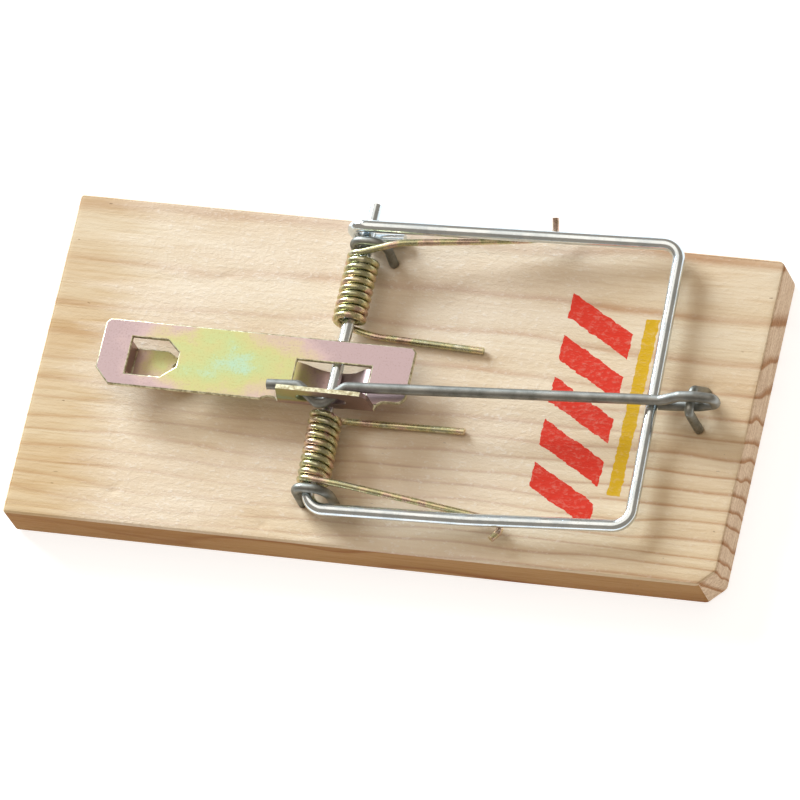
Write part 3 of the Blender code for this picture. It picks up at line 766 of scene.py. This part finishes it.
def baitPlate():
    # the stamped sheet as the frame has it, welded, with its sheared edges broken
    form = bmesh.new()
    form.from_mesh(frame["nodes"]["trigger_plate"].data)
    bmesh.ops.remove_doubles(form, verts=form.verts, dist=2e-6)
    bmesh.ops.dissolve_limit(
        form, angle_limit=radians(trigger["flatAngle"]), verts=form.verts, edges=form.edges
    )
    limit = radians(trigger["sharpAngle"])
    sharp = [edge for edge in form.edges if onOutline(edge)]
    bmesh.ops.bevel(
        form, geom=sharp, offset=trigger["edge"] * 0.001, affect="EDGES",
        segments=trigger["segments"], profile=0.5, material=1, clamp_overlap=False,
    )
    # the sheared sides and the top of the flange show the torn edge too
    level = [face for face in form.faces if face.normal.z > 0.999]
    flatTop = max(level, key=lambda face: face.calc_area()).calc_center_median().z * 1000
    for face in form.faces:
        face.smooth = True
        middle = face.calc_center_median().z * 1000
        sheared = abs(face.normal.z) < 0.05 and flatTop - lockBar["sheet"] < middle < flatTop
        if sheared or middle > plateHigh.z - 0.05:
            face.material_index = 1
    # torn edges are shaded apart from the flats, which would look bulged otherwise
    for edge in form.edges:
        kinds = {face.material_index for face in edge.link_faces}
        edge.smooth = len(kinds) == 1 and edge.calc_face_angle(0) < limit
    flats = [face for face in form.faces if len(face.verts) > 4]
    bmesh.ops.triangulate(form, faces=flats, quad_method="BEAUTY", ngon_method="BEAUTY")
    bmesh.ops.dissolve_degenerate(form, dist=1e-6, edges=form.edges[:])
    mesh = bpy.data.meshes.new("bait_plate")
    form.to_mesh(mesh)
    form.free()
    addPiece("bait_plate", mesh, sheetChromate, "trigger", ["trigger_plate"])
    mesh.materials.append(edgeChromate)


baitPlate()
print("bait plate made")


board = {
    "edge": 0.4,
    "frontCorner": 2.2,
    "backCorner": 0.6,
    "cutsAlong": 24,
    "cutsAcross": 12,
    "levels": 3,
    "crush": 0.35,           # wood pressed in round a staple's leg
    "crushWide": 1.5,
    "relief": 0.05,          # planing leaves the late wood standing
}

dents = [   # x, y, length, width, depth, turned
    (-26.0, 13.2, 3.4, 0.45, 0.12, 20),
    (-34.5, -18.5, 1.1, 0.8, 0.18, 0),
    (-23.0, -20.5, 0.8, 0.5, 0.15, 30),
    (-13.0, -21.0, 1.6, 0.9, 0.16, -15),
    (5.5, 12.5, 2.2, 0.3, 0.1, 55),
    (33.0, -20.5, 1.4, 0.3, 0.12, 80),
]


def boardShape():
    form = bmesh.new()
    size = boardHigh - boardLow
    bmesh.ops.create_cube(form, size=1.0, matrix=Matrix.Diagonal((*mm(*size), 1)))
    bmesh.ops.translate(form, verts=form.verts, vec=mm(*((boardHigh + boardLow) / 2)))
    # the two chipped upright corners at the end with the lock bar
    for cut, side in ((board["frontCorner"], -1), (board["backCorner"], 1)):
        spot = mm(boardHigh.x - cut, side * boardHigh.y, 0)
        everything = form.verts[:] + form.edges[:] + form.faces[:]
        bmesh.ops.bisect_plane(
            form, geom=everything, plane_co=spot, plane_no=(1, side, 0), clear_outer=True
        )
        bmesh.ops.edgeloop_fill(form, edges=[edge for edge in form.edges if edge.is_boundary])
    bmesh.ops.bevel(
        form, geom=form.edges[:], offset=board["edge"] * 0.001, affect="EDGES",
        segments=4, profile=0.5, material=-1,
    )
    # cuts along and across, so that the top can take dents and grain
    for axis, count in ((0, board["cutsAlong"]), (1, board["cutsAcross"])):
        for k in range(1, count):
            spot, normal = Vector((0, 0, 0)), Vector((0, 0, 0))
            spot[axis] = (boardLow[axis] + size[axis] * k / count) * 0.001
            normal[axis] = 1
            everything = form.verts[:] + form.edges[:] + form.faces[:]
            bmesh.ops.bisect_plane(form, geom=everything, plane_co=spot, plane_no=normal)
    form.normal_update()
    for face in form.faces:
        face.material_index = 1 if abs(face.normal.x) > 0.6 else 0
        face.smooth = True
    return form


def pressTop(point):
    # how far the top gives way at a point
    down = 0.0
    for x, y in legs:
        away = ((point.x - x) ** 2 + (point.y - y) ** 2) ** 0.5 - staple["wire"] / 2
        if away < board["crushWide"]:
            down += board["crush"] * (1 - max(away, 0) / board["crushWide"]) ** 2
    for x, y, along, across, depth, turned in dents:
        local = Matrix.Rotation(-radians(turned), 2) @ Vector((point.x - x, point.y - y))
        near = (local.x / along) ** 2 + (local.y / across) ** 2
        if near < 1:
            down += depth * (1 - near) ** 2
    down += board["relief"] * (noise.noise(Vector((point.x * 0.06, point.y * 0.9, 3.0))) + 1) / 2
    return down


def makeBoard():
    mesh = bpy.data.meshes.new("pine_board")
    form = boardShape()
    for _ in range(board["levels"]):
        bmesh.ops.subdivide_edges(form, edges=form.edges[:], cuts=1, use_grid_fill=True)
    for vert in form.verts:
        point = vert.co * 1000
        if point.z > boardTop - 0.02:
            vert.co.z -= pressTop(point) * 0.001
    form.to_mesh(mesh)
    form.free()
    mesh.set_sharp_from_angle(angle=radians(45))
    addPiece("pine_board", mesh, pineFaceMaterial, "base", ["base_board"])
    mesh.materials.append(pineEndMaterial)


makeBoard()
print("board made")


studio = {                   # the studio is laid out in metres and lit in watts
    "floor": "#bcbcbb",
    "floorHalf": 7.0,        # wide, so that a low view still ends on the floor
    "floorGlow": 0.78,       # a light table's own light keeps the floor nearly white
    "world": 0.32,
    "worldColour": "#ffecd6",
    "keyFrom": (-0.77, 0.64, 0.475),
    "keyFar": 1.9,
    "keySize": 0.9,
    "keyPower": 54.0,
    "keyColour": "#edf8ff",
    "topFrom": (-0.1, 0.14, 0.95),
    "topSize": 0.9,
    "topPower": 2.35,
    "topColour": "#fff4e7",
}


def areaLight(name, spot, size, power, colour):
    data = bpy.data.lights.new(name, "AREA")
    data.color = linear(colour)[:3]
    data.size = size
    data.energy = power
    lamp = bpy.data.objects.new(name, data)
    lamp.location = spot
    lamp.rotation_euler = (-Vector(spot)).to_track_quat("-Z", "Y").to_euler()
    bpy.context.scene.collection.objects.link(lamp)


def studioLight():
    world = bpy.data.worlds.new("studio")
    world.use_nodes = True
    sky = world.node_tree.nodes["Background"].inputs
    sky["Color"].default_value = linear(studio["worldColour"])
    sky["Strength"].default_value = studio["world"]
    bpy.context.scene.world = world
    keySpot = Vector(studio["keyFrom"]).normalized() * studio["keyFar"]
    areaLight("key", keySpot, studio["keySize"], studio["keyPower"], studio["keyColour"])
    areaLight(
        "top softbox", studio["topFrom"], studio["topSize"], studio["topPower"], studio["topColour"]
    )


def studioFloor():
    form = bmesh.new()
    bmesh.ops.create_grid(form, x_segments=1, y_segments=1, size=studio["floorHalf"])
    mesh = bpy.data.meshes.new("studio_floor")
    form.to_mesh(mesh)
    form.free()
    mesh.materials.append(startMaterial("pale light table", {
        "Base Color": linear(studio["floor"]), "Roughness": 0.9, "Specular IOR Level": 0.1,
        "Emission Color": linear("#ffffff"), "Emission Strength": studio["floorGlow"],
    })[0])
    ground = bpy.data.objects.new("studio_floor", mesh)
    ground.location.z = -0.0002
    bpy.context.scene.collection.objects.link(ground)


view = {
    "target": (-0.765, 0.790, 0.0),
    "distance": 1400.5,
    "elevation": 61.1,
    "azimuth": 42.7,         # from the front towards the lock bar's end
    "roll": -33.165,
    "lens": 482.3,
}


def studioCamera():
    data = bpy.data.cameras.new("camera")
    data.lens = view["lens"]
    data.sensor_width = 36
    data.clip_end = 20
    eye = bpy.data.objects.new("camera", data)
    high, around = radians(view["elevation"]), radians(view["azimuth"])
    away = Vector((cos(high) * sin(around), -cos(high) * cos(around), sin(high)))
    eye.location = mm(*view["target"]) + away * view["distance"] * 0.001
    turn = (-away).to_track_quat("-Z", "Y").to_matrix() @ Matrix.Rotation(radians(view["roll"]), 3, "Z")
    eye.rotation_euler = turn.to_euler()
    bpy.context.scene.collection.objects.link(eye)
    bpy.context.scene.camera = eye


studioLight()
studioFloor()
studioCamera()
bpy.context.scene.view_settings.view_transform = "Standard"
print("studio set")
